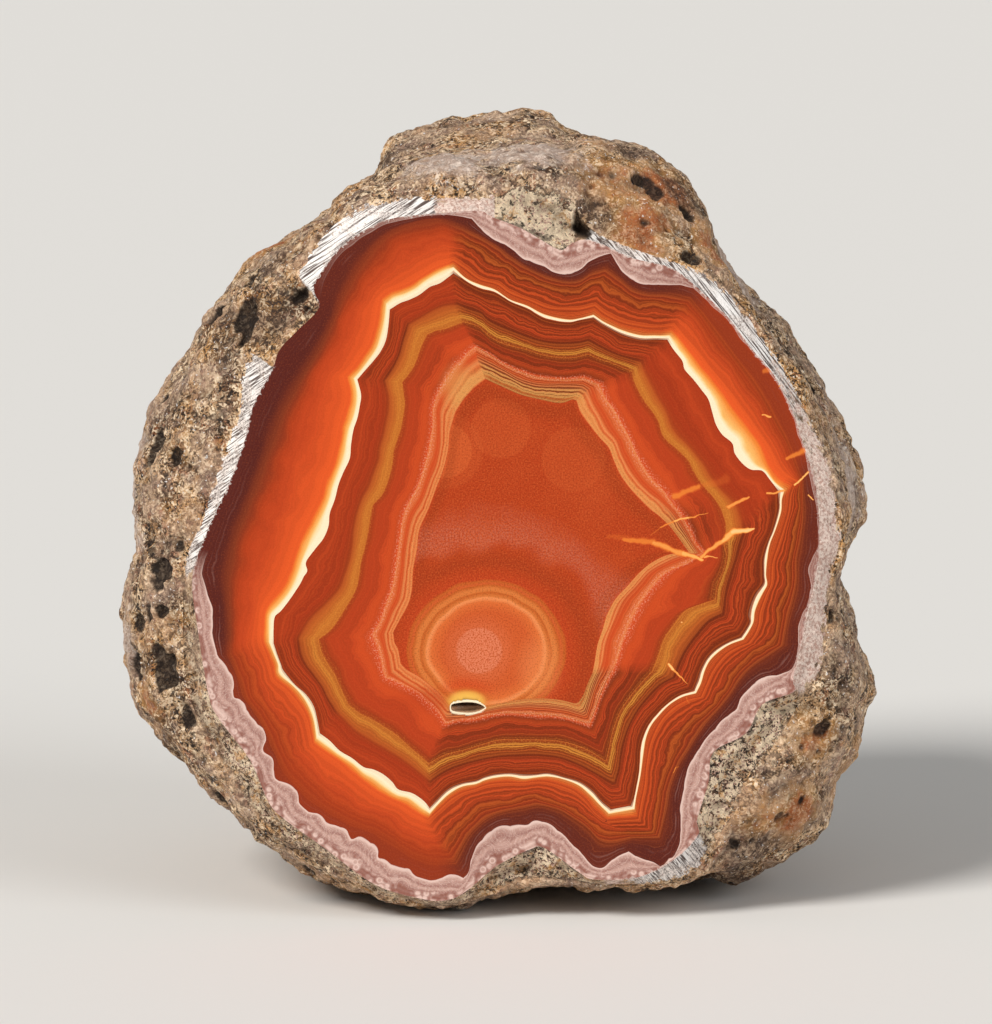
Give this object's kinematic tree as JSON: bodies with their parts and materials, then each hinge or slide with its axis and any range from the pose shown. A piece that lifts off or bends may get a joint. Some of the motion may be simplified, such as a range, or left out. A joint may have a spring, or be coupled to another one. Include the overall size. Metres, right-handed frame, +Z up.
{
  "type": "agate nodule",
  "caption": "Agate nodule with one flat polished cut that shows its bands, a rough pitted rind behind it, and a small flat spot to stand on.",
  "frame": {"origin": "the middle of the bounding box's underside, on the surface that the nodule stands on", "axes": "+Z up; the polished cut faces -Y and leans back by 8 degrees; +X is to the right of someone who looks at the cut"},
  "size_m": [0.0617, 0.0496, 0.0625],
  "materials": {
    "agate": "polished on the cut, rough rind elsewhere",
    "drusy_quartz": "small glassy crystals"
  },
  "bodies": {
    "root": {"nodule": "agate", "vug_crust": "drusy_quartz"}
  },
  "joints": []
}
